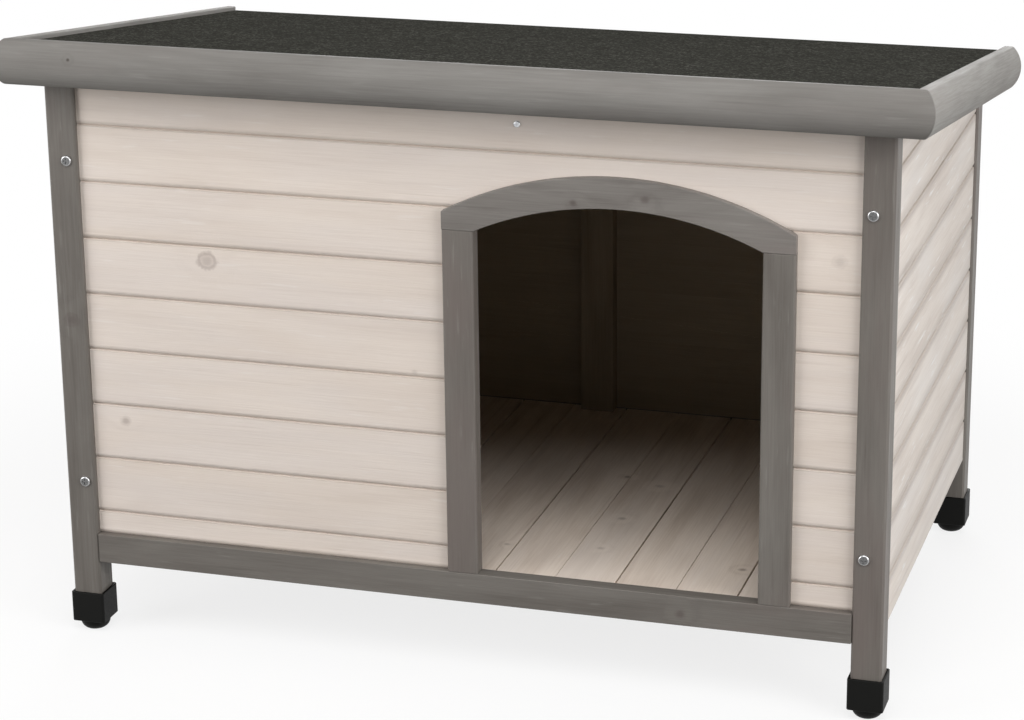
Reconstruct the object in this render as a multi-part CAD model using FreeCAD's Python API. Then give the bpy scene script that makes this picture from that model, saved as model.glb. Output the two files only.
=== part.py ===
import FreeCAD, Part
import math
import os

Vec = FreeCAD.Vector

# Overall size, millimetres. X is the width, Y the depth with the door on the -Y side, Z is up.
overall_width = 850.0
overall_height = 580.0
side_overhang = 36.0
body_depth = 498.0
front_overhang = 32.0
rear_overhang = 5.0
roof_slope_deg = 8.0

# Clearances
rest_gap = 0.3
wood_gap = 0.2
run_gap = 0.3
overrun = 5.0
upright_share = 0.999

# Corner posts
post_side = 28.0
post_edge = 2.0

# Wall planks: tongue and groove boards with rounded outer edges, the lower one wider
plank_thick = 9.0
plank_recess = 6.0
side_plank_inset = 2.6
wall_courses = 8
wall_top_gap = 13.6
plank_edge_low = 6.0
plank_edge_high = 1.2
plank_edge_depth = 2.0
tongue_thick = 3.0
tongue_height = 4.0

# Bottom rails
rail_thick = 15.0
rail_height = 28.5
rail_bottom = 72.9
first_course = 22.0
side_wall_bottom = 78.6

# Top rails
front_top_rail_height = 40.0
top_rail_depth = 28.0
roof_rear_rail_height = 20.0

# Doorway with a segmental arch
door_width = 260.0
door_post_gap = 55.7
door_height_share = 0.8388
jamb_width = 29.0
arch_width = 28.0
arch_rise = 29.0
arch_edge = 1.5

# Battens behind the planks
batten_side = 15.0
centre_batten_width = 35.0

# Floor
floor_board_thick = 9.0
floor_run_share = 0.825
floor_full_boards = 11
floor_open_gap = 1.6
floor_tight_gap = 0.5
floor_drop = 1.0
bearer_width = 20.0
bearer_count = 3

# Roof
roof_panel_thick = 6.0
felt_thick = 2.0
felt_flap = 9.0
fascia_height = 41.0
fascia_base = 9.0
fascia_bulge = 9.0
fascia_lip = 4.0
groove_depth = 4.0

# Butt hinges at the rear
hinge_spread_share = 0.588
hinge_length = 50.0
hinge_leaf_height = 14.0
hinge_leaf_thick = 1.2
knuckle_radius = 3.6
pin_radius = 1.6
pin_head = 1.0
knuckle_count = 3

# Feet: moulded caps with screw-in levelling feet
cap_wall = 2.5
cap_height = 30.0
cap_floor = 4.0
cap_edge = 1.5
foot_radius = 14.0
foot_height = 10.2
foot_rim = 3.0
foot_sole_radius = 7.0
foot_dome_bulge = 1.6
stem_radius = 4.0
stem_length = 28.0
foot_travel = 12.0

# Screws
screw_head_radius = 5.0
screw_head_height = 2.2
screw_round_share = 0.7
recess_span_share = 1.1
recess_slot_share = 0.26
recess_depth_share = 0.55
screw_edge_distance = 18.5
screw_low = 154.0
screw_drop = 115.0
small_head_radius = 3.0
small_head_height = 1.2
top_screw_offset = 56.6
top_screw_drop = 39.3
leaf_head_radius = 2.6
leaf_head_height = 0.9
leaf_screw_offset = 16.0

# Places worked out from the sizes above
overall_depth = front_overhang + body_depth + rear_overhang
front_face = -overall_depth / 2 + front_overhang
back_face = front_face + body_depth
half_body = overall_width / 2 - side_overhang
slope = math.radians(roof_slope_deg)
fascia_thick = fascia_base + fascia_bulge
rail_top = rail_bottom + rail_height
course_base = rail_top + first_course
wall_inner_front = front_face + rail_thick
wall_inner_back = back_face - rail_thick
side_outer = half_body - side_plank_inset
side_inner = side_outer - plank_thick
floor_top = rail_top - floor_drop
floor_bottom = floor_top - floor_board_thick
post_inner = half_body - post_side
hinge_spacing = overall_width * hinge_spread_share
floor_board_pitch = 2 * side_inner * floor_run_share / floor_full_boards
door_centre = post_inner - door_post_gap - jamb_width - door_width / 2
door_left = door_centre - door_width / 2
door_right = door_centre + door_width / 2
cap_bottom = foot_height + run_gap
post_bottom = cap_bottom + cap_floor

# The roof's own frame: y runs down the slope from the inner face of the front fascia, z is square
# to the panel and zero on its underside.
fascia_top = roof_panel_thick + felt_thick + fascia_lip
fascia_low = fascia_top - fascia_height
fascia_middle = (fascia_top + fascia_low) / 2
bow_radius = (fascia_height ** 2 / 4 + fascia_bulge ** 2) / (2 * fascia_bulge)
roof_ref_y = front_face - front_overhang + bow_radius - (
    (bow_radius - fascia_thick) * math.cos(slope) + fascia_middle * math.sin(slope)
)
roof_ref_z = overall_height - fascia_top * math.cos(slope) - fascia_base * math.sin(slope)
roof_length = (front_face - front_overhang + overall_depth - roof_ref_y) / math.cos(slope) - (
    fascia_top * math.tan(slope)
)
roof_half_inner = overall_width / 2 - fascia_thick

# Hinge line at the joint between the back top rail and the roof's rear rail
hinge_face = back_face - plank_recess
hinge_y = hinge_face + knuckle_radius + run_gap


def roof_under(y):
    """Height of the panel's underside above the ground at depth y."""
    return roof_ref_z - (y - roof_ref_y) * math.tan(slope)


hinge_z = roof_under(hinge_face) - roof_rear_rail_height
wall_run = roof_under(front_face) - wall_top_gap - course_base
plank_pitch = wall_run / wall_courses
jamb_top = course_base + wall_run * door_height_share - arch_width - arch_rise


def box(x0, x1, y0, y1, z0, z1):
    return Part.makeBox(x1 - x0, y1 - y0, z1 - z0, Vec(x0, y0, z0))


def prism(points, direction):
    wire = Part.makePolygon(points + [points[0]])
    return Part.Face(wire).extrude(direction)


def group(solids):
    return Part.makeCompound(solids)


def ease(solid, size, pick):
    edges = [edge for edge in solid.Edges if pick(edge)]
    return solid.makeChamfer(size, edges)


def upright(edge):
    tangent = edge.tangentAt(edge.FirstParameter)
    return abs(tangent.z) > upright_share


def cylinder(radius, length, base, direction):
    return Part.makeCylinder(radius, length, base, direction)


def below_roof(solid):
    """Cuts a wall piece parallel to the panel, just under it."""
    front = front_face - overrun
    back = back_face + overrun
    wide = half_body + overrun
    top = overall_height + wall_top_gap + overrun
    points = [
        Vec(-wide, front, roof_under(front) - rest_gap),
        Vec(-wide, back, roof_under(back) - rest_gap),
        Vec(-wide, back, top),
        Vec(-wide, front, top),
    ]
    return solid.cut(prism(points, Vec(2 * wide, 0, 0)))


def post(side, front):
    x0 = -half_body if side < 0 else post_inner
    y0 = front_face if front else back_face - post_side
    top = overall_height if front else hinge_z
    solid = box(x0, x0 + post_side, y0, y0 + post_side, post_bottom, top)
    solid = ease(solid, post_edge, upright)
    centre = Vec(x0 + post_side / 2, y0 + post_side / 2, post_bottom)
    bore = cylinder(stem_radius + run_gap, stem_length, centre, Vec(0, 0, 1))
    solid = solid.cut(bore)
    return below_roof(solid) if front else solid


def cap(side, front):
    half = post_side / 2 + cap_wall
    cx, cy = foot_centre(side, front)
    shell = box(cx - half, cx + half, cy - half, cy + half, cap_bottom, cap_bottom + cap_height)
    shell = ease(shell, cap_edge, upright)
    inner = post_side / 2
    socket = box(cx - inner, cx + inner, cy - inner, cy + inner, post_bottom, cap_bottom + cap_height)
    hole = cylinder(stem_radius + run_gap, cap_floor, Vec(cx, cy, cap_bottom), Vec(0, 0, 1))
    return shell.cut(socket).cut(hole)


def foot_centre(side, front):
    cx = side * (half_body - post_side / 2)
    cy = front_face + post_side / 2 if front else back_face - post_side / 2
    return cx, cy


def foot(side, front):
    """A domed plastic foot on a threaded stem, turned as one profile."""
    cx, cy = foot_centre(side, front)
    shoulder = foot_height - foot_rim
    run = Vec(foot_radius - foot_sole_radius, 0, shoulder)
    outward = Vec(shoulder, 0, -run.x).normalize()
    middle = Vec(foot_sole_radius, 0, 0) + run / 2 + outward * foot_dome_bulge
    stem_top = post_bottom + stem_length - foot_travel - run_gap
    dome = Part.Arc(Vec(foot_sole_radius, 0, 0), middle, Vec(foot_radius, 0, shoulder)).toShape()
    rest = Part.makePolygon([
        Vec(foot_radius, 0, shoulder),
        Vec(foot_radius, 0, foot_height),
        Vec(stem_radius, 0, foot_height),
        Vec(stem_radius, 0, stem_top),
        Vec(0, 0, stem_top),
        Vec(0, 0, 0),
        Vec(foot_sole_radius, 0, 0),
    ])
    wire = Part.Wire([dome] + rest.Edges)
    solid = Part.Face(wire).revolve(Vec(0, 0, 0), Vec(0, 0, 1), 360)
    solid.translate(Vec(cx, cy, 0))
    return solid


def plank_outline(start, low, high, grooved, tongued):
    """Outline of one board's section: outer face at y = 0, its back at plank_thick."""
    tongue_0 = (plank_thick - tongue_thick) / 2
    tongue_1 = tongue_0 + tongue_thick
    round_share = 1 - math.sqrt(1 / 2)
    edge_mid = plank_edge_depth * round_share

    def at(y, z):
        return Vec(start, y, z)

    face_low = low + plank_edge_low
    face_high = high - plank_edge_high
    lower_mid = at(edge_mid, low + plank_edge_low * round_share)
    upper_mid = at(edge_mid, high - plank_edge_high * round_share)
    lower = Part.Arc(at(plank_edge_depth, low), lower_mid, at(0, face_low))
    upper = Part.Arc(at(0, face_high), upper_mid, at(plank_edge_depth, high))
    points = [at(plank_edge_depth, high)]
    if tongued:
        points += [at(tongue_0, high), at(tongue_0, high + tongue_height)]
        points += [at(tongue_1, high + tongue_height), at(tongue_1, high)]
    points += [at(plank_thick, high), at(plank_thick, low)]
    if grooved:
        top = low + tongue_height + wood_gap
        points += [at(tongue_1 + wood_gap, low), at(tongue_1 + wood_gap, top)]
        points += [at(tongue_0 - wood_gap, top), at(tongue_0 - wood_gap, low)]
    points.append(at(plank_edge_depth, low))
    face_line = Part.LineSegment(at(0, face_low), at(0, face_high))
    rounded = [lower.toShape(), face_line.toShape(), upper.toShape()]
    return Part.Wire(rounded + Part.makePolygon(points).Edges)


def plank(low, high, start, end, grooved=True, tongued=True):
    outline = plank_outline(start, low, high, grooved, tongued)
    return Part.Face(outline).extrude(Vec(end - start, 0, 0))


def course(index):
    """Lower and upper joint of a course; course 0 is the short one at the bottom."""
    low = course_base + (index - 1) * plank_pitch
    return low, low + plank_pitch


def jamb(left):
    x0 = door_left - jamb_width if left else door_right
    solid = box(x0, x0 + jamb_width, front_face, wall_inner_front, rail_top, jamb_top)
    return ease(solid, arch_edge, lambda edge: upright(edge) and edge.BoundBox.YMax < wall_inner_front)


def arch_radii():
    inner = ((door_width / 2) ** 2 + arch_rise ** 2) / (2 * arch_rise)
    return inner, inner + arch_width


def arch_outline(half, radius, crown, base, depth_0, depth_1):
    """A block with a straight foot and vertical ends under a circular top."""
    shoulder = crown - radius + math.sqrt(radius ** 2 - half ** 2)
    left = door_centre - half
    right = door_centre + half
    arc = Part.Arc(
        Vec(left, depth_0, shoulder), Vec(door_centre, depth_0, crown), Vec(right, depth_0, shoulder)
    )
    foot_line = Part.makePolygon([
        Vec(right, depth_0, shoulder),
        Vec(right, depth_0, base),
        Vec(left, depth_0, base),
        Vec(left, depth_0, shoulder),
    ])
    face = Part.Face(Part.Wire([arc.toShape()] + foot_line.Edges))
    return face.extrude(Vec(0, depth_1 - depth_0, 0))


def door_frame_outline(grow):
    """The space that the jambs and the arch take out of the planks."""
    radius = arch_radii()[1] + grow
    half = door_width / 2 + jamb_width + grow
    crown = jamb_top + arch_rise + arch_width + grow
    base = rail_top - overrun
    return arch_outline(half, radius, crown, base, front_face - overrun, wall_inner_front + overrun)


def door_arch():
    inner, outer = arch_radii()
    half = door_width / 2 + jamb_width
    crown = jamb_top + arch_rise + arch_width
    block = arch_outline(half, outer, crown, jamb_top, front_face, wall_inner_front)
    hollow_axis = Vec(door_centre, front_face - overrun, jamb_top + arch_rise - inner)
    hollow = cylinder(inner, rail_thick + 2 * overrun, hollow_axis, Vec(0, 1, 0))
    return block.cut(hollow)


def front_planks(index):
    low, high = course(index)
    first = index == 0
    if first:
        low = rail_top
    solid = plank(low, high, -post_inner, post_inner, not first, index < wall_courses)
    solid.translate(Vec(0, front_face + plank_recess, 0))
    solid = solid.cut(door_frame_outline(0))
    return below_roof(solid)


def side_planks(side):
    """Boards of a side wall, between the posts and cut to the slope of the roof."""
    boards = []
    length = body_depth - 2 * post_side
    for index in range(wall_courses + 1):
        low, high = course(index)
        first = index == 0
        if first:
            low = side_wall_bottom
        board = plank(low, high, -length / 2, length / 2, not first, index < wall_courses)
        board.rotate(Vec(0, 0, 0), Vec(0, 0, 1), side * 90)
        board.translate(Vec(side * side_outer, (front_face + back_face) / 2, 0))
        boards += below_roof(board).Solids
    return group(boards)


def back_courses():
    return int((hinge_z - course_base - rail_height / 2) / plank_pitch)


def back_planks():
    boards = []
    count = back_courses()
    for index in range(count + 1):
        low, high = course(index)
        first = index == 0
        if first:
            low = rail_top
        board = plank(low, high, -post_inner, post_inner, not first, index < count)
        board.rotate(Vec(0, 0, 0), Vec(0, 0, 1), 180)
        board.translate(Vec(0, back_face - plank_recess, 0))
        boards.append(board)
    return group(boards)


def bottom_rail(front):
    y0 = front_face if front else wall_inner_back
    return box(-post_inner, post_inner, y0, y0 + rail_thick, rail_bottom, rail_top)


def front_top_rail():
    y0 = wall_inner_front
    top = roof_under(y0)
    rail = box(-post_inner, post_inner, y0, y0 + top_rail_depth, top - front_top_rail_height, overall_height)
    return below_roof(rail)


def back_top_rail():
    low = course(back_courses())[1]
    rail = box(-post_inner, post_inner, back_face - post_side, hinge_face, low, hinge_z)
    slot_0 = hinge_face - (plank_thick + tongue_thick) / 2 - wood_gap
    slot_1 = slot_0 + tongue_thick + 2 * wood_gap
    slot_top = low + tongue_height + wood_gap
    return rail.cut(box(-post_inner, post_inner, slot_0, slot_1, low, slot_top))


def wall_battens_front():
    top = roof_under(wall_inner_front) - front_top_rail_height
    y0 = wall_inner_front
    solids = []
    for x0 in (-post_inner, post_inner - batten_side):
        solids.append(box(x0, x0 + batten_side, y0, y0 + batten_side, floor_top, top))
    return group(solids)


def wall_battens_back():
    top = course(back_courses())[1]
    y0 = wall_inner_back - batten_side
    half = centre_batten_width / 2
    end = post_inner - batten_side
    solids = []
    for x0, x1 in ((-post_inner, -end), (-half, half), (end, post_inner)):
        solids.append(box(x0, x1, y0, wall_inner_back, floor_top, top))
    return group(solids)


def wall_battens_side(side):
    solids = []
    inner_0 = side_inner - batten_side
    x0 = inner_0 if side > 0 else -side_inner
    y_front = front_face + post_side
    y_back = back_face - post_side - batten_side
    for y0 in (y_front, y_back):
        batten = box(x0, x0 + batten_side, y0, y0 + batten_side, floor_top, overall_height)
        solids += below_roof(batten).Solids
    return group(solids)


def floor_boards():
    """Boards laid front to back, notched round the posts at the ends."""
    near = front_face + post_side + wood_gap
    far = back_face - post_side - wood_gap
    corner = post_inner - wood_gap
    notches = []
    for x0, x1 in ((-side_inner, -corner), (corner, side_inner)):
        for y0, y1 in ((wall_inner_front, near), (far, wall_inner_back)):
            notches.append(box(x0, x1, y0, y1, floor_bottom, floor_top))
    lines = [-side_inner]
    for index in range(floor_full_boards + 1):
        lines.append((index - floor_full_boards / 2) * floor_board_pitch)
    lines.append(side_inner)
    boards = []
    for index in range(len(lines) - 1):
        x0 = lines[index] + floor_gap(index) / 2
        x1 = lines[index + 1] - floor_gap(index + 1) / 2
        board = box(x0, x1, wall_inner_front + wood_gap, wall_inner_back - wood_gap, floor_bottom, floor_top)
        boards += board.cut(notches).Solids
    return group(boards)


def floor_gap(line):
    """Every other joint of the floor stands open."""
    return floor_open_gap if line % 2 else floor_tight_gap


def floor_bearers():
    first = front_face + post_side
    last = back_face - post_side - bearer_width
    step = (last - first) / (bearer_count - 1)
    solids = []
    for index in range(bearer_count):
        y0 = first + index * step
        solids.append(box(-side_inner, side_inner, y0, y0 + bearer_width, rail_bottom, floor_bottom))
    return group(solids)


def on_roof(solid):
    solid.rotate(Vec(0, 0, 0), Vec(1, 0, 0), -roof_slope_deg)
    solid.translate(Vec(0, roof_ref_y, roof_ref_z))
    return solid


def fascia_section(along):
    """Section of the moulding with a bowed face; along(distance, height) places its points."""
    bow = Part.Arc(
        along(fascia_base, fascia_top), along(fascia_thick, fascia_middle), along(fascia_base, fascia_low)
    )
    back = Part.makePolygon([
        along(fascia_base, fascia_low),
        along(0, fascia_low),
        along(0, 0),
        along(groove_depth, 0),
        along(groove_depth, roof_panel_thick),
        along(0, roof_panel_thick),
        along(0, fascia_top),
        along(fascia_base, fascia_top),
    ])
    return Part.Face(Part.Wire([bow.toShape()] + back.Edges))


def mitre_wedge(side):
    """Everything on the side fascia's half of the mitre at one front corner."""
    reach = fascia_thick + overrun
    corner = side * roof_half_inner
    points = [
        Vec(corner - side * overrun, overrun, fascia_low - overrun),
        Vec(corner + side * reach, -reach, fascia_low - overrun),
        Vec(corner + side * reach, overrun, fascia_low - overrun),
    ]
    return prism(points, Vec(0, 0, fascia_height + 2 * overrun))


def front_fascia():
    start = -overall_width / 2
    section = fascia_section(lambda out, height: Vec(start, -out, height))
    solid = section.extrude(Vec(overall_width, 0, 0))
    for side in (-1, 1):
        solid = solid.cut(mitre_wedge(side))
    return on_roof(solid)


def side_fascia(side):
    start = -fascia_thick - overrun
    section = fascia_section(lambda out, height: Vec(side * (roof_half_inner + out), start, height))
    solid = section.extrude(Vec(0, roof_length - start, 0))
    front_half = box(-overall_width, overall_width, -fascia_thick - 2 * overrun, 0,
                     fascia_low - overrun, fascia_top + overrun)
    return on_roof(solid.cut(front_half.cut(mitre_wedge(side))))


def roof_panel():
    half = roof_half_inner + groove_depth
    return on_roof(box(-half, half, -groove_depth, roof_length - felt_thick, 0, roof_panel_thick))


def roof_felt():
    """Granular felt glued to the panel and turned down over its rear edge."""
    half = roof_half_inner
    sheet = box(-half, half, 0, roof_length, roof_panel_thick, roof_panel_thick + felt_thick)
    flap = box(-half, half, roof_length - felt_thick, roof_length,
               roof_panel_thick + felt_thick - felt_flap, roof_panel_thick)
    return on_roof(sheet.fuse(flap).removeSplitter())


def roof_rear_rail():
    front = back_face - post_side + rest_gap
    low = hinge_z + rest_gap
    half = roof_half_inner
    points = [
        Vec(-half, front, low),
        Vec(-half, hinge_face, low),
        Vec(-half, hinge_face, roof_under(hinge_face)),
        Vec(-half, front, roof_under(front)),
    ]
    return prism(points, Vec(2 * half, 0, 0))


def knuckle_spans(start):
    length = hinge_length / knuckle_count
    return [(start + index * length, start + (index + 1) * length) for index in range(knuckle_count)]


def hinge_leaf(side, on_lid):
    """A flat leaf whose knuckles alternate with those of the other leaf."""
    start = side * hinge_spacing / 2 - hinge_length / 2
    direction = 1 if on_lid else -1
    near = hinge_z + direction * (knuckle_radius + run_gap)
    far = hinge_z + direction * (knuckle_radius + hinge_leaf_height)
    outer = hinge_face + hinge_leaf_thick
    leaf = box(start, start + hinge_length, hinge_face, outer, min(near, far), max(near, far))
    for index, (x0, x1) in enumerate(knuckle_spans(start)):
        if (index % 2 == 1) != on_lid:
            continue
        x0 += run_gap / 2
        x1 -= run_gap / 2
        barrel = cylinder(knuckle_radius, x1 - x0, Vec(x0, hinge_y, hinge_z), Vec(1, 0, 0))
        tab = box(x0, x1, hinge_face, outer, min(near, hinge_z), max(near, hinge_z))
        leaf = leaf.fuse([tab, barrel])
    bore = cylinder(pin_radius + run_gap, hinge_length, Vec(start, hinge_y, hinge_z), Vec(1, 0, 0))
    return leaf.cut(bore).removeSplitter()


def hinge_pin(side):
    start = side * hinge_spacing / 2 - hinge_length / 2
    axis = Vec(1, 0, 0)
    pin = cylinder(pin_radius, hinge_length, Vec(start, hinge_y, hinge_z), axis)
    for x0 in (start - pin_head, start + hinge_length):
        pin = pin.fuse(cylinder(pin_radius + pin_head, pin_head, Vec(x0, hinge_y, hinge_z), axis))
    return pin.removeSplitter()


def screw_head(radius, height, place, outward):
    """A pan head: a low disc with a rounded rim and a cross recess."""
    head = cylinder(radius, height, Vec(0, 0, 0), Vec(0, 0, 1))
    top_edges = [edge for edge in head.Edges if edge.BoundBox.ZMin > height / 2]
    head = head.makeFillet(height * screw_round_share, top_edges)
    half_span = radius * recess_span_share / 2
    half_slot = radius * recess_slot_share / 2
    depth = height * (1 - recess_depth_share)
    for half_x, half_y in ((half_span, half_slot), (half_slot, half_span)):
        head = head.cut(box(-half_x, half_x, -half_y, half_y, depth, height))
    head.Placement = FreeCAD.Placement(place, FreeCAD.Rotation(Vec(0, 0, 1), outward))
    return head


def post_screws():
    heads = []
    for side in (-1, 1):
        x = side * (half_body - screw_edge_distance)
        for height in (screw_low, overall_height - screw_drop):
            for y, outward in ((front_face, Vec(0, -1, 0)), (back_face, Vec(0, 1, 0))):
                if height < hinge_z:
                    heads.append(screw_head(screw_head_radius, screw_head_height, Vec(x, y, height), outward))
    return group(heads)


def top_rail_screw():
    height = roof_under(wall_inner_front) - top_screw_drop
    place = Vec(top_screw_offset, front_face + plank_recess, height)
    return screw_head(small_head_radius, small_head_height, place, Vec(0, -1, 0))


def leaf_screws(on_lid):
    """Two screws through each hinge leaf."""
    direction = 1 if on_lid else -1
    height = hinge_z + direction * (knuckle_radius + hinge_leaf_height / 2)
    heads = []
    for side in (-1, 1):
        for offset in (-leaf_screw_offset, leaf_screw_offset):
            place = Vec(side * hinge_spacing / 2 + offset, hinge_face + hinge_leaf_thick, height)
            heads.append(screw_head(leaf_head_radius, leaf_head_height, place, Vec(0, 1, 0)))
    return group(heads)


def sub_parts():
    parts = {}
    for front, depth_name in ((True, "front"), (False, "back")):
        for side, side_name in ((-1, "left"), (1, "right")):
            corner = depth_name + "_" + side_name
            parts[corner + "_post"] = post(side, front)
            parts[corner + "_cap"] = cap(side, front)
            parts[corner + "_foot"] = foot(side, front)
        parts[depth_name + "_bottom_rail"] = bottom_rail(front)
    parts["front_top_rail"] = front_top_rail()
    parts["back_top_rail"] = back_top_rail()
    parts["left_door_jamb"] = jamb(True)
    parts["right_door_jamb"] = jamb(False)
    parts["door_arch"] = door_arch()
    for index in range(wall_courses + 1):
        parts["front_plank_%d" % (index + 1)] = front_planks(index)
    parts["back_wall_planks"] = back_planks()
    parts["front_wall_battens"] = wall_battens_front()
    parts["back_wall_battens"] = wall_battens_back()
    for side, side_name in ((-1, "left"), (1, "right")):
        parts[side_name + "_wall_planks"] = side_planks(side)
        parts[side_name + "_wall_battens"] = wall_battens_side(side)
        parts[side_name + "_fascia"] = side_fascia(side)
        parts[side_name + "_hinge_fixed_leaf"] = hinge_leaf(side, False)
        parts[side_name + "_hinge_roof_leaf"] = hinge_leaf(side, True)
        parts[side_name + "_hinge_pin"] = hinge_pin(side)
    parts["floor_boards"] = floor_boards()
    parts["floor_bearers"] = floor_bearers()
    parts["roof_panel"] = roof_panel()
    parts["roof_felt"] = roof_felt()
    parts["front_fascia"] = front_fascia()
    parts["roof_rear_rail"] = roof_rear_rail()
    parts["post_screws"] = post_screws()
    parts["top_rail_screw"] = top_rail_screw()
    parts["fixed_leaf_screws"] = leaf_screws(False)
    parts["roof_leaf_screws"] = leaf_screws(True)
    return parts


def main():
    os.makedirs("parts", exist_ok=True)
    for name, shape in sub_parts().items():
        shape.exportStep(os.path.join("parts", name + ".step"))


main()
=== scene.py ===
import math

import bpy
from mathutils import Euler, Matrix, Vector

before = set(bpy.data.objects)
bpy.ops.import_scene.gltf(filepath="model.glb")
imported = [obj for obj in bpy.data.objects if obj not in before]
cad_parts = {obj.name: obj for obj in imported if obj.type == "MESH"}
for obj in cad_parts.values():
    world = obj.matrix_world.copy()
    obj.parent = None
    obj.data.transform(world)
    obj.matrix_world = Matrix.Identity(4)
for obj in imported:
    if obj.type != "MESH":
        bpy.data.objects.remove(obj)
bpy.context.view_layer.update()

X, Y, Z = 0, 1, 2

# Camera, metres and degrees
CAMERA_PLACE = (0.78935, -2.61506, 1.13113)
CAMERA_TURN_DEG = (71.7635, 0.6375, 17.0180)
CAMERA_REACH = 100.0
LENS_MM = 104.13
SENSOR_MM = 36.0

# Lamps as (name, place, point aimed at, width and height, watts), metres
LAMPS = (
    ("right", (2.45, -1.20, 1.15), (0.0, 0.0, 0.30), (1.7, 1.7), 55.0),
    ("left", (-2.20, -1.75, 0.95), (0.0, 0.0, 0.35), (1.7, 1.5), 45.0),
    ("front", (0.40, -1.90, 2.90), (0.0, 0.0, 0.30), (2.2, 1.6), 46.0),
    ("back", (-0.30, 2.90, 1.30), (0.0, 0.0, 0.30), (2.4, 1.3), 52.0),
)

# Weak light of the sky. Its rises are the heights of a unit ray at which it sets in and is full
SKY_COLOUR = (1.0, 0.99, 0.98)
SKY_STRENGTH = 0.22
SKY_RISES = (0.25, 0.80)

# White floor. Within the smaller radius the lamps give this share of its brightness, so that the object's
# shadow shows, and beyond the larger radius none of it
FLOOR_SIZE = 30.0
FLOOR_BOUNCE = (0.11, 0.11, 0.11)
FLOOR_LIT = (0.95, 0.95, 0.95)
SHADOW_SHARE = 0.20
SHADOW_RADII = (0.55, 1.10)

# Boards as (axis across them, place of a joint, pitch), metres
WALL_BOARDS = (Z, 0.1234, 0.0535)
FLOOR_BOARDS = (X, -0.3113, 0.0566)

# Space that takes in the walls' inner faces as (axis, low, high), metres. There the boards are uncoated,
# and darker as painted shade inside the house
FRONT_TO_BACK = (Y, -0.2210, 0.2480)
SIDE_TO_SIDE = (X, -0.3779, 0.3779)

# Fall of the roof to the rear
ROOF_FALL_DEG = 8.0

# Knots on the front as (x, z, radius, share of the ring, strength)
PLANK_KNOTS = (
    (-0.2392, 0.3781, 0.0082, 0.52, 1.00),
    (-0.3283, 0.2159, 0.0048, 0.25, 0.75),
    (0.3419, 0.4208, 0.0060, 0.30, 0.42),
    (-0.0420, 0.2890, 0.0030, 0.20, 0.35),
)
GREY_KNOTS = (
    (-0.3745, 0.3128, 0.0070, 0.35, 0.70),
    (0.1084, 0.4581, 0.0036, 0.10, 0.65),
    (0.1726, 0.4652, 0.0046, 0.15, 0.60),
    (-0.3485, 0.5660, 0.0018, 0.00, 0.80),
    (0.2061, 0.0840, 0.0050, 0.20, 0.65),
)

# Knots on the floor as (x, y, radius, share of the ring, strength)
FLOOR_KNOTS = (
    (0.0819, 0.0487, 0.0036, 0.10, 0.70),
    (0.1191, 0.0315, 0.0050, 0.15, 0.40),
    (0.1062, -0.0626, 0.0044, 0.15, 0.50),
    (0.1066, -0.1411, 0.0040, 0.20, 0.40),
    (0.0194, -0.1546, 0.0034, 0.10, 0.40),
    (0.2454, -0.1574, 0.0042, 0.10, 0.75),
)

# Shape of a knot: height over width, cycles to the metre of its uneven edge, and shares of its radius
KNOT_HEIGHT_SHARE = 0.85
KNOT_EDGE_CYCLES = 210.0
KNOT_EDGE_NOISE = (0.2, 0.8)
KNOT_EDGE_SHARES = (0.86, 1.16)
KNOT_CORE_SHARES = (1.15, 0.20)
KNOT_RIM_SHARE = 0.82
KNOT_RIM_WIDTH_SHARE = 0.42
KNOT_BEND_SHARE = 4.0

# Figure of the wood as noise, with run and cross in cycles to the metre along and across the grain
SWEEP = dict(run=1.3, cross=11.0, detail=2.0)
WAVER = dict(run=5.0, cross=60.0, detail=2.0)
FIBRE = dict(low=0.30, high=0.72, run=16.0, cross=620.0, detail=3.0, roughness=0.65)
BLOTCH = dict(low=0.26, high=0.76, run=4.5, cross=22.0, detail=4.0, roughness=0.6, distortion=0.5,
              offset=3.1)
STREAK = dict(low=0.60, high=0.80, run=7.0, cross=170.0, detail=2.0, roughness=0.5, offset=7.7)
WASH = dict(low=0.42, high=0.72, run=3.0, cross=15.0, detail=3.0, roughness=0.6, distortion=0.3,
            offset=11.3)
FLECK = dict(low=0.64, high=0.74, run=24.0, cross=260.0, detail=2.0, roughness=0.5, offset=19.7)

# Growth rings: radians over the sweep, the waver and a knot's bend, and a power that thins the lines
RING_SWEEP = 44.0
RING_WAVER = 2.6
RING_BEND = 3.5
RING_POWER = 2.4

# Steps of the noise from board to board and from piece to piece, and where a board's tone is read
BOARD_STEP = 5.173
PIECE_STEP = 37.0
TONE_STEP = 1.37
TONE_PLACE = (0.31, 0.77)

# Surface of the wood: spread of its roughness over the fibre, and depth of its grain
ROUGH_SPREAD = (-0.06, 0.10)
FIBRE_DEPTH = -0.4
RING_DEPTH = -0.4
STREAK_DEPTH = -0.5
GRAIN_BUMP = dict(strength=0.40, distance=0.0004)

# Joints, darkened with this colour: reach in metres and share at a board's two edges, where it is painted
# shade and on the upper edge hides the lamps' highlight, and share of the fine line, the dark joint itself
FRONT_JOINT = dict(low_reach=0.0110, low_share=0.12, line_share=0.17, top_reach=0.0022, top_share=0.42)
SIDE_JOINT = dict(low_reach=0.0180, low_share=0.36, line_share=0.40, top_reach=0.0110, top_share=0.44)
LINE_REACH = 0.0026
LINE_FULL = 0.0006
JOINT_STAIN_AND_SHADE = (0.270, 0.215, 0.180)

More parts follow.
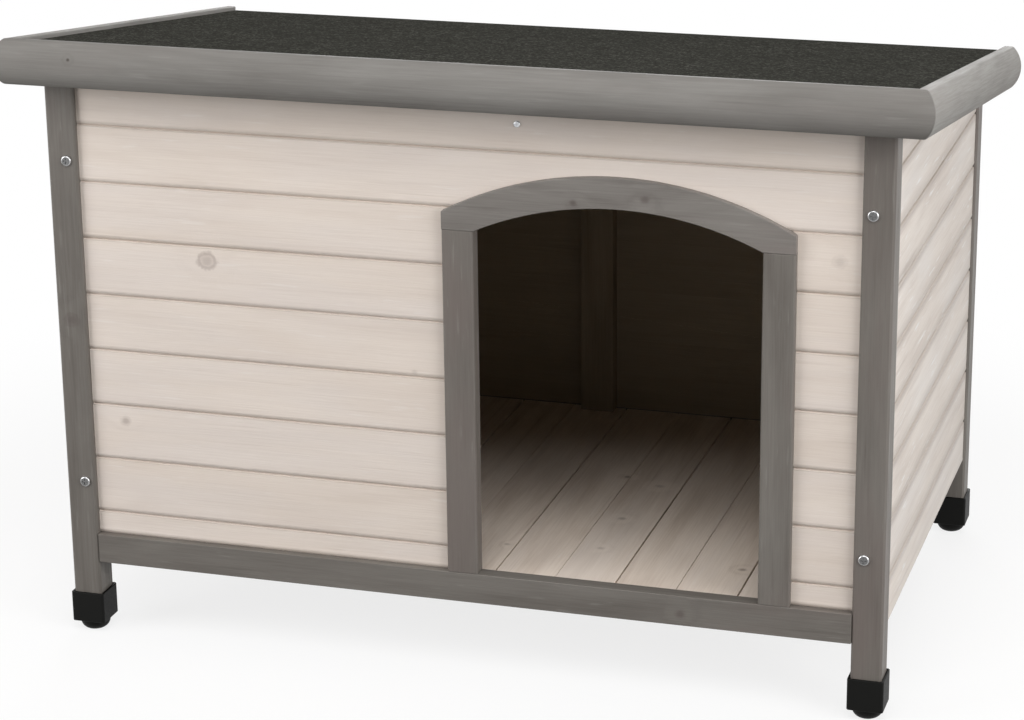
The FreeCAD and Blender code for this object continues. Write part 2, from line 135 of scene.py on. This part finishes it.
# Coats of the wood. The shares say how strongly each part of the figure shows
PALE = dict(
    pale=(0.795, 0.706, 0.632), deep=(0.560, 0.460, 0.388), tint=(0.715, 0.652, 0.622),
    knot=(0.330, 0.265, 0.235), fleck=(0.86, 0.81, 0.77), rough=0.60,
    shares=dict(ring=0.08, fibre=0.10, blotch=0.26, streak=0.18, tone=0.26, wash=0.35, fleck=0.25),
)
# Paler than the front's coat: painted light, so that the side walls show as bright as the front
SIDE_COAT_LIT = dict(
    pale=(0.850, 0.776, 0.706), deep=(0.545, 0.464, 0.408), tint=(0.820, 0.782, 0.750),
    knot=(0.330, 0.265, 0.235), fleck=(0.92, 0.90, 0.88), rough=0.52,
    shares=dict(ring=0.14, fibre=0.16, blotch=0.32, streak=0.40, tone=0.30, wash=0.45, fleck=0.75),
)
INDOOR = dict(
    pale=(0.835, 0.730, 0.634), deep=(0.490, 0.386, 0.308), tint=(0.730, 0.655, 0.600),
    knot=(0.200, 0.140, 0.105), fleck=(0.80, 0.74, 0.68), rough=0.60,
    shares=dict(ring=0.20, fibre=0.20, blotch=0.34, streak=0.30, tone=0.30, wash=0.35, fleck=0.20),
)
GREY = dict(
    pale=(0.190, 0.175, 0.157), deep=(0.086, 0.074, 0.064), tint=(0.160, 0.132, 0.119),
    knot=(0.070, 0.050, 0.044), fleck=(0.30, 0.285, 0.265), rough=0.50,
    shares=dict(ring=0.16, fibre=0.20, blotch=0.42, streak=0.24, tone=0.20, wash=0.70, fleck=0.22),
)
ARCH_GREY = dict(
    GREY, pale=(0.236, 0.220, 0.202), deep=(0.114, 0.100, 0.090), tint=(0.202, 0.173, 0.160),
)
# Paler copy of the posts' grey glaze: painted light on the roof trim, which is lit from above
ROOF_GREY_LIT = dict(
    pale=(0.262, 0.252, 0.236), deep=(0.136, 0.126, 0.115), tint=(0.238, 0.221, 0.206),
    knot=(0.060, 0.046, 0.040), fleck=(0.34, 0.33, 0.31), rough=0.64, gloss=0.10,
    shares=dict(ring=0.12, fibre=0.18, blotch=0.44, streak=0.20, tone=0.20, wash=0.55, fleck=0.16),
)
# Paler still on the side trims: more painted light, which also makes up for their weaker sheen
SIDE_ROOF_GREY_LIT = dict(
    ROOF_GREY_LIT, pale=(0.350, 0.339, 0.319), deep=(0.185, 0.174, 0.161), tint=(0.314, 0.295, 0.277),
    shares=dict(ring=0.04, fibre=0.16, blotch=0.46, streak=0.14, tone=0.20, wash=0.55, fleck=0.16),
)
# Uncoated wood, darker than raw pine as painted shade inside the house
SHADED_BARE = dict(
    pale=(0.345, 0.284, 0.206), deep=(0.225, 0.175, 0.118), tint=(0.312, 0.252, 0.182),
    knot=(0.150, 0.095, 0.055), fleck=(0.40, 0.35, 0.27), rough=0.66,
    shares=dict(ring=0.40, fibre=0.25, blotch=0.30, streak=0.20, tone=0.20, wash=0.40, fleck=0.0),
)

# Range that most values of a noise keep to
NOISE_SPAN = (0.3, 0.7)

# Felt: colours of the bitumen and the grains, and noise in cycles to the metre
FELT_DARK = (0.043, 0.043, 0.037)
FELT_GRAIN = (0.172, 0.168, 0.150)
FELT_GRAIN_CYCLES = 380.0
FELT_CLUMP_CYCLES = 120.0
FELT_BROAD_CYCLES = 11.0
FELT_SPECK_RAMP = dict(low=0.42, high=0.70)
FELT_CLUMP_RAMP = dict(low=0.34, high=0.66, out_low=0.15)
FELT_BROAD_RAMP = dict(low=0.25, high=0.75, out_low=0.70)
FELT_BUMP = dict(strength=0.8, distance=0.0012)

# Black plastic
PLASTIC_BLACK = (0.005, 0.005, 0.0045)
PLASTIC_CYCLES = 900.0
PLASTIC_GLOSS = 0.11
PLASTIC_ROUGHS = (0.44, 0.56)
PLASTIC_BUMP = dict(strength=0.15, distance=0.0002)

# Zinc plate, and on screw heads how square and how far out a face is that is darkened with painted shade
ZINC = dict(bright=(0.66, 0.67, 0.68), dull=(0.42, 0.43, 0.45))
SCREW_ZINC = dict(bright=(0.56, 0.56, 0.56), dull=(0.38, 0.38, 0.39), shaded_face=(0.17, 0.17, 0.17))
ZINC_CYCLES = 420.0
ZINC_ROUGHS = (0.24, 0.38)
SHADE_SQUARE = (0.90, 0.995)
SHADE_OUTER = (0.32, 0.46)

# Rounded edges, metres and degrees
WELD_GAP = 0.00002
EDGE_SEGMENTS = 3
EDGE_ANGLE_DEG = 32.0
EDGE_WEIGHT = 80


class Net:
    """A node tree, built from its coordinates to its surface."""

    def __init__(self, tree):
        self.tree = tree
        self.tree.nodes.clear()

    def put(self, socket, value):
        if isinstance(value, bpy.types.NodeSocket):
            self.tree.links.new(value, socket)
        elif socket.type == "RGBA" and len(value) == 3:
            socket.default_value = (*value, 1.0)
        else:
            socket.default_value = value

    def add(self, kind, **settings):
        node = self.tree.nodes.new(kind)
        for key, value in settings.items():
            setattr(node, key, value)
        return node

    def math(self, operation, *values):
        node = self.add("ShaderNodeMath", operation=operation)
        for socket, value in zip(node.inputs, values):
            self.put(socket, value)
        return node.outputs[0]

    def weighted(self, *pairs):
        """Sum of values, each times its weight."""
        total = None
        for value, weight in pairs:
            part = self.math("MULTIPLY", value, weight)
            total = part if total is None else self.math("ADD", total, part)
        return total

    def largest(self, first, *others):
        for value in others:
            first = self.math("MAXIMUM", first, value)
        return first

    def split(self, vector):
        node = self.add("ShaderNodeSeparateXYZ")
        self.put(node.inputs[0], vector)
        return tuple(node.outputs)

    def position(self, kind="Object"):
        return self.split(self.add("ShaderNodeTexCoord").outputs[kind])

    def vector(self, x, y, z):
        node = self.add("ShaderNodeCombineXYZ")
        for socket, value in zip(node.inputs, (x, y, z)):
            self.put(socket, value)
        return node.outputs[0]

    def scaled(self, values, scale):
        return self.vector(*[self.math("MULTIPLY", value, scale) for value in values])

    def noise(self, vector, detail=3.0, roughness=0.55, distortion=0.0):
        node = self.add("ShaderNodeTexNoise")
        self.put(node.inputs["Vector"], vector)
        node.inputs["Scale"].default_value = 1.0
        node.inputs["Detail"].default_value = detail
        node.inputs["Roughness"].default_value = roughness
        node.inputs["Distortion"].default_value = distortion
        return node.outputs["Fac"]

    def ramp(self, value, low, high, out_low=0.0, out_high=1.0):
        node = self.add("ShaderNodeMapRange", interpolation_type="SMOOTHSTEP")
        for socket, item in zip(node.inputs, (value, low, high, out_low, out_high)):
            self.put(socket, item)
        return node.outputs[0]

    def mix(self, factor, first, second):
        node = self.add("ShaderNodeMix", data_type="RGBA")
        self.put(node.inputs["Factor"], factor)
        self.put(node.inputs[6], first)
        self.put(node.inputs[7], second)
        return node.outputs[2]

    def blend(self, factor, first, second):
        """Mix of two shaders."""
        node = self.add("ShaderNodeMixShader")
        for socket, value in zip(node.inputs, (factor, first, second)):
            self.put(socket, value)
        return node.outputs[0]

    def seen(self):
        """1 for what is seen straight, in a reflection or through glass, and 0 for all other light."""
        path = self.add("ShaderNodeLightPath")
        rays = ("Is Camera Ray", "Is Glossy Ray", "Is Transmission Ray")
        return self.largest(*[path.outputs[ray] for ray in rays])


class Look(Net):
    """A material with one principled surface."""

    def __init__(self, name):
        self.material = bpy.data.materials.new(name)
        self.material.use_nodes = True
        super().__init__(self.material.node_tree)
        self.out = self.add("ShaderNodeOutputMaterial")
        self.surface = self.add("ShaderNodeBsdfPrincipled")
        self.put(self.out.inputs["Surface"], self.surface.outputs["BSDF"])

    def set(self, name, value):
        self.put(self.surface.inputs[name], value)

    def bump(self, height, strength, distance):
        node = self.add("ShaderNodeBump")
        node.inputs["Strength"].default_value = strength
        node.inputs["Distance"].default_value = distance
        self.put(node.inputs["Height"], height)
        self.set("Normal", node.outputs[0])


class Wood(Look):
    """Softwood with its grain along one axis, and a figure of its own for each board or piece."""

    def __init__(self, name, along, boards, fall_deg):
        super().__init__(name)
        self.place = self.position()
        if fall_deg:
            self.place = self.tilted(math.radians(fall_deg))
        self.grain = self.place[along]
        self.across, self.through = [self.place[axis] for axis in (Z, Y, X) if axis != along]
        if boards:
            axis, base, self.pitch = boards
            self.count = self.math("DIVIDE", self.math("SUBTRACT", self.place[axis], base), self.pitch)
            self.seed = self.math("MULTIPLY", self.math("FLOOR", self.count), BOARD_STEP)
        else:
            random = self.add("ShaderNodeObjectInfo").outputs["Random"]
            self.seed = self.math("MULTIPLY", random, PIECE_STEP)

    def tilted(self, fall):
        """The place in axes that fall to the rear."""
        x, level, height = self.place
        down = self.weighted((level, math.cos(fall)), (height, -math.sin(fall)))
        square = self.weighted((level, math.sin(fall)), (height, math.cos(fall)))
        return x, down, square

    def field(self, run, cross, detail, roughness=0.55, distortion=0.0, offset=0.0):
        start = self.math("ADD", self.seed, offset)
        u = self.math("ADD", self.math("MULTIPLY", self.grain, run), start)
        v = self.math("ADD", self.math("MULTIPLY", self.across, cross), self.seed)
        w = self.math("MULTIPLY", self.through, cross)
        return self.noise(self.vector(u, v, w), detail, roughness, distortion)

    def figure(self, low, high, share=1.0, **noise):
        """A field that is 0 where the noise is below low, and share where it is above high."""
        return self.ramp(self.field(**noise), low, high, 0.0, share)

    def rings(self, bend):
        """Growth rings: 1 on the dark lines, and 0 between them."""
        sweep, waver = self.field(**SWEEP), self.field(**WAVER)
        phase = self.weighted((sweep, RING_SWEEP), (waver, RING_WAVER), (bend, RING_BEND))
        wave = self.math("ADD", self.math("MULTIPLY", self.math("SINE", phase), 0.5), 0.5)
        return self.math("POWER", wave, RING_POWER)

    def tone(self):
        """How much darker or paler than the others a board is."""
        place = self.vector(self.math("MULTIPLY", self.seed, TONE_STEP), *TONE_PLACE)
        return self.math("SUBTRACT", self.noise(place, detail=0.0), 0.5)

    def knots(self, knots, up_axis):
        """How dark a knot is at each point, and how far the grain bends round it."""
        x, up = self.place[X], self.place[up_axis]
        shake = self.noise(self.scaled((x, 0.0, up), KNOT_EDGE_CYCLES), detail=2.0)
        edge = self.ramp(shake, *KNOT_EDGE_NOISE, *KNOT_EDGE_SHARES)
        core_end, core_full = KNOT_CORE_SHARES
        shade, bend = 0.0, 0.0
        for knot_x, knot_up, radius, ring, strength in knots:
            side = self.math("MULTIPLY", self.math("SUBTRACT", x, knot_x), KNOT_HEIGHT_SHARE)
            rise = self.math("SUBTRACT", up, knot_up)
            distance = self.math("SQRT", self.weighted((side, side), (rise, rise)))
            distance = self.math("MULTIPLY", distance, edge)
            core = self.ramp(distance, radius * core_end, radius * core_full, 0.0, strength * (1.0 - ring))
            rim = self.math("ABSOLUTE", self.math("SUBTRACT", distance, radius * KNOT_RIM_SHARE))
            rim = self.ramp(rim, radius * KNOT_RIM_WIDTH_SHARE, 0.0, 0.0, strength * ring)
            shade = self.largest(shade, core, rim)
            bend = self.largest(bend, self.ramp(distance, radius * KNOT_BEND_SHARE, radius))
        return shade, bend

    def joints(self, low_reach, low_share, line_share, top_reach, top_share):
        """How dark each joint's fine line is, and how much painted shade lies along the lower and upper
        edge of each board.
        """
        rise = self.math("MULTIPLY", self.math("FRACT", self.count), self.pitch)
        low = self.ramp(rise, low_reach, 0.0, 0.0, low_share)
        line = self.ramp(rise, LINE_REACH, LINE_FULL, 0.0, line_share)
        top = self.ramp(rise, self.pitch - top_reach, self.pitch - LINE_FULL, 0.0, top_share)
        return self.largest(top, low, line)

    def between(self, axis, low, high):
        """1 between two faces square to an axis, and 0 elsewhere."""
        above = self.math("GREATER_THAN", self.place[axis], low)
        below = self.math("LESS_THAN", self.place[axis], high)
        return self.math("MULTIPLY", above, below)


def wood(name, along, boards, pale, deep, tint, knot, fleck, rough, shares, gloss=0.35,
         knots=(), knot_axis=Z, shaded_bare_within=None, joint=None, fall_deg=0.0):
    """Softwood under a thin coat.

    along is the grain's axis, and boards is None or (axis, base, pitch).
    shaded_bare_within is (axis, low, high): between these faces the boards are left uncoated, and darker
    as painted shade.
    fall_deg is the angle at which a piece that runs along y falls to the rear.
    """
    net = Wood(name, along, boards, fall_deg)
    shade, bend = net.knots(knots, knot_axis) if knots else (0.0, 0.0)
    rings = net.rings(bend)
    fibre, blotch, streak = net.figure(**FIBRE), net.figure(**BLOTCH), net.figure(**STREAK)
    amount = net.weighted((rings, shares["ring"]), (fibre, shares["fibre"]), (blotch, shares["blotch"]),
                          (streak, shares["streak"]), (net.tone(), shares["tone"]))
    colour = net.mix(amount, pale, deep)
    colour = net.mix(net.figure(share=shares["wash"], **WASH), colour, tint)
    colour = net.mix(net.figure(share=shares["fleck"], **FLECK), colour, fleck)
    # Dark joint lines, with painted shade along the boards' lower and upper edges
    if joint:
        colour = net.mix(net.joints(**joint), colour, JOINT_STAIN_AND_SHADE)
    # Uncoated wood on the inner faces, darkened as painted shade
    if shaded_bare_within:
        shaded_bare = net.mix(amount, SHADED_BARE["pale"], SHADED_BARE["deep"])
        colour = net.mix(net.between(*shaded_bare_within), colour, shaded_bare)
    if knots:
        colour = net.mix(shade, colour, knot)
    net.set("Base Color", colour)
    net.set("Roughness", net.ramp(fibre, 0.0, 1.0, *[rough + spread for spread in ROUGH_SPREAD]))
    net.set("Specular IOR Level", gloss)
    height = net.weighted((fibre, FIBRE_DEPTH), (rings, RING_DEPTH), (streak, STREAK_DEPTH))
    net.bump(height, **GRAIN_BUMP)
    return net.material


def felt():
    """Bitumen felt strewn with fine mineral grains."""
    net = Look("roofing_felt")
    place = net.position()
    grains = net.noise(net.scaled(place, FELT_GRAIN_CYCLES), detail=2.0, roughness=0.7)
    clumps = net.noise(net.scaled(place, FELT_CLUMP_CYCLES), detail=3.0, roughness=0.7)
    broad = net.noise(net.scaled(place, FELT_BROAD_CYCLES), detail=3.0, roughness=0.6)
    speck = net.ramp(grains, **FELT_SPECK_RAMP)
    speck = net.math("MULTIPLY", speck, net.ramp(clumps, **FELT_CLUMP_RAMP))
    speck = net.math("MULTIPLY", speck, net.ramp(broad, **FELT_BROAD_RAMP))
    net.set("Base Color", net.mix(speck, FELT_DARK, FELT_GRAIN))
    net.set("Roughness", 1.0)
    net.set("Specular IOR Level", 0.0)
    net.bump(net.math("ADD", grains, clumps), **FELT_BUMP)
    return net.material


def plastic():
    """Black plastic with a fine moulded grain."""
    net = Look("black_plastic")
    grain = net.noise(net.scaled(net.position(), PLASTIC_CYCLES), detail=1.0)
    net.set("Base Color", PLASTIC_BLACK)
    net.set("Roughness", net.ramp(grain, *NOISE_SPAN, *PLASTIC_ROUGHS))
    net.set("Specular IOR Level", PLASTIC_GLOSS)
    net.bump(grain, **PLASTIC_BUMP)
    return net.material


def zinc(name, bright, dull, shaded_face=None):
    """Zinc plate. shaded_face darkens the outer faces square to the y axis with painted shade, which gives
    the screw heads dark centres.
    """
    net = Look(name)
    spangle = net.noise(net.scaled(net.position(), ZINC_CYCLES), detail=2.0)
    colour = net.mix(spangle, dull, bright)
    # Painted shade on the flat outer face of each screw head
    if shaded_face:
        normal = net.split(net.add("ShaderNodeNewGeometry").outputs["Normal"])
        square = net.ramp(net.math("ABSOLUTE", normal[Y]), *SHADE_SQUARE)
        depth = net.math("SUBTRACT", net.position("Generated")[Y], 0.5)
        outer = net.ramp(net.math("ABSOLUTE", depth), *SHADE_OUTER)
        colour = net.mix(net.math("MULTIPLY", square, outer), colour, shaded_face)
    net.set("Base Color", colour)
    net.set("Metallic", 1.0)
    net.set("Roughness", net.ramp(spangle, *NOISE_SPAN, *ZINC_ROUGHS))
    return net.material


materials = {
    "front_planks": wood("whitewash_front", X, WALL_BOARDS, knots=PLANK_KNOTS, shaded_bare_within=FRONT_TO_BACK,
                         joint=FRONT_JOINT, **PALE),
    "back_planks": wood("whitewash_back", X, WALL_BOARDS, shaded_bare_within=FRONT_TO_BACK,
                        joint=FRONT_JOINT, **PALE),
    "side_planks": wood("whitewash_side", Y, WALL_BOARDS, shaded_bare_within=SIDE_TO_SIDE,
                        joint=SIDE_JOINT, **SIDE_COAT_LIT),
    "floor": wood("whitewash_floor", Y, FLOOR_BOARDS, knots=FLOOR_KNOTS, knot_axis=Y, **INDOOR),
    "arch": wood("grey_arch", X, None, knots=GREY_KNOTS, **ARCH_GREY),
    "grey_x": wood("grey_across", X, None, knots=GREY_KNOTS, **GREY),
    "grey_back": wood("grey_back", X, None, **GREY),
    "roof_x": wood("grey_roof_across", X, None, knots=GREY_KNOTS, **ROOF_GREY_LIT),
    "roof_y": wood("grey_roof_deep", Y, None, fall_deg=ROOF_FALL_DEG, **SIDE_ROOF_GREY_LIT),
    "grey_z": wood("grey_upright", Z, None, knots=GREY_KNOTS, **GREY),
    "shaded_bare_x": wood("shaded_bare_across", X, None, **SHADED_BARE),
    "shaded_bare_z": wood("shaded_bare_upright", Z, None, **SHADED_BARE),
    "felt": felt(),
    "plastic": plastic(),
    "zinc": zinc("zinc_steel", **ZINC),
    "screws": zinc("zinc_screws", **SCREW_ZINC),
}

# Width of the rounded edge by look, metres
EDGES = {
    "front_planks": 0.0005,
    "back_planks": 0.0005,
    "side_planks": 0.0005,
    "floor": 0.0007,
    "arch": 0.0008,
    "grey_x": 0.0008,
    "grey_back": 0.0008,
    "roof_x": 0.0012,
    "roof_y": 0.0012,
    "grey_z": 0.0007,
    "shaded_bare_x": 0.0010,
    "shaded_bare_z": 0.0010,
    "plastic": 0.0008,
    "felt": 0.0006,
}


def look_of(node):
    """Name of the look that a node takes."""
    if node.endswith(("_cap", "_foot")):
        return "plastic"
    if node.endswith("_screws"):
        return "screws"
    if "hinge" in node or node == "top_rail_screw":
        return "zinc"
    if node == "roof_felt":
        return "felt"
    if node.endswith(("_post", "_jamb")):
        return "grey_z"
    if node in ("left_fascia", "right_fascia"):
        return "roof_y"
    if node == "front_fascia":
        return "roof_x"
    if node == "door_arch":
        return "arch"
    if node == "front_bottom_rail":
        return "grey_x"
    if node in ("back_bottom_rail", "back_top_rail", "roof_rear_rail"):
        return "grey_back"
    if node.startswith("front_plank"):
        return "front_planks"
    if node == "back_wall_planks":
        return "back_planks"
    if node in ("left_wall_planks", "right_wall_planks"):
        return "side_planks"
    if node == "floor_boards":
        return "floor"
    if node.endswith("_battens"):
        return "shaded_bare_z"
    return "shaded_bare_x"


def round_edges(piece, width):
    weld = piece.modifiers.new("weld", "WELD")
    weld.merge_threshold = WELD_GAP
    bevel = piece.modifiers.new("round", "BEVEL")
    bevel.width = width
    bevel.segments = EDGE_SEGMENTS
    bevel.limit_method = "ANGLE"
    bevel.angle_limit = math.radians(EDGE_ANGLE_DEG)
    bevel.use_clamp_overlap = True
    smooth = piece.modifiers.new("even", "WEIGHTED_NORMAL")
    smooth.keep_sharp = False
    smooth.weight = EDGE_WEIGHT


def dress(node, piece):
    look = look_of(node)
    piece.data.materials.clear()
    piece.data.materials.append(materials[look])
    if look in EDGES:
        round_edges(piece, EDGES[look])


def stage_floor():
    """White floor that keeps the object's shadow."""
    bpy.ops.mesh.primitive_plane_add(size=FLOOR_SIZE, location=(0, 0, 0))
    floor = bpy.context.object
    floor.name = "studio_floor"
    net = Look("studio_floor")
    net.set("Base Color", FLOOR_BOUNCE)
    net.set("Roughness", 1.0)
    white = net.add("ShaderNodeEmission")
    net.put(white.inputs["Strength"], 1.0)
    lit = net.add("ShaderNodeBsdfDiffuse")
    net.put(lit.inputs["Color"], FLOOR_LIT)
    x, y, _ = net.position()
    radius = net.math("SQRT", net.weighted((x, x), (y, y)))
    white_share = net.ramp(radius, *SHADOW_RADII, 1.0 - SHADOW_SHARE, 1.0)
    shown = net.blend(white_share, lit.outputs[0], white.outputs[0])
    net.put(net.out.inputs["Surface"], net.blend(net.seen(), net.surface.outputs[0], shown))
    floor.data.materials.append(net.material)


def stage_world():
    """White where it is seen, and otherwise a weak light from above."""
    world = bpy.data.worlds.new("studio")
    world.use_nodes = True
    bpy.context.scene.world = world
    net = Net(world.node_tree)
    white = net.add("ShaderNodeBackground")
    net.put(white.inputs["Color"], (1.0, 1.0, 1.0))
    net.put(white.inputs["Strength"], 1.0)
    sky = net.add("ShaderNodeBackground")
    net.put(sky.inputs["Color"], SKY_COLOUR)
    net.put(sky.inputs["Strength"], net.ramp(net.position("Generated")[Z], *SKY_RISES, 0.0, SKY_STRENGTH))
    out = net.add("ShaderNodeOutputWorld")
    net.put(out.inputs["Surface"], net.blend(net.seen(), sky.outputs[0], white.outputs[0]))


def stage_lamp(name, place, aim, size, watts):
    data = bpy.data.lights.new(name, "AREA")
    data.shape = "RECTANGLE"
    data.size, data.size_y = size
    data.energy = watts
    lamp = bpy.data.objects.new(name, data)
    bpy.context.scene.collection.objects.link(lamp)
    lamp.location = place
    lamp.rotation_euler = (Vector(aim) - Vector(place)).to_track_quat("-Z", "Y").to_euler()


def stage_camera():
    data = bpy.data.cameras.new("camera")
    data.sensor_fit = "HORIZONTAL"
    data.sensor_width = SENSOR_MM
    data.lens = LENS_MM
    data.clip_end = CAMERA_REACH
    camera = bpy.data.objects.new("camera", data)
    bpy.context.scene.collection.objects.link(camera)
    camera.location = CAMERA_PLACE
    camera.rotation_euler = Euler([math.radians(turn) for turn in CAMERA_TURN_DEG], "XYZ")
    bpy.context.scene.camera = camera


for node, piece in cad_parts.items():
    dress(node, piece)
stage_floor()
stage_world()
for lamp in LAMPS:
    stage_lamp(*lamp)
stage_camera()
bpy.context.scene.view_settings.view_transform = "Standard"
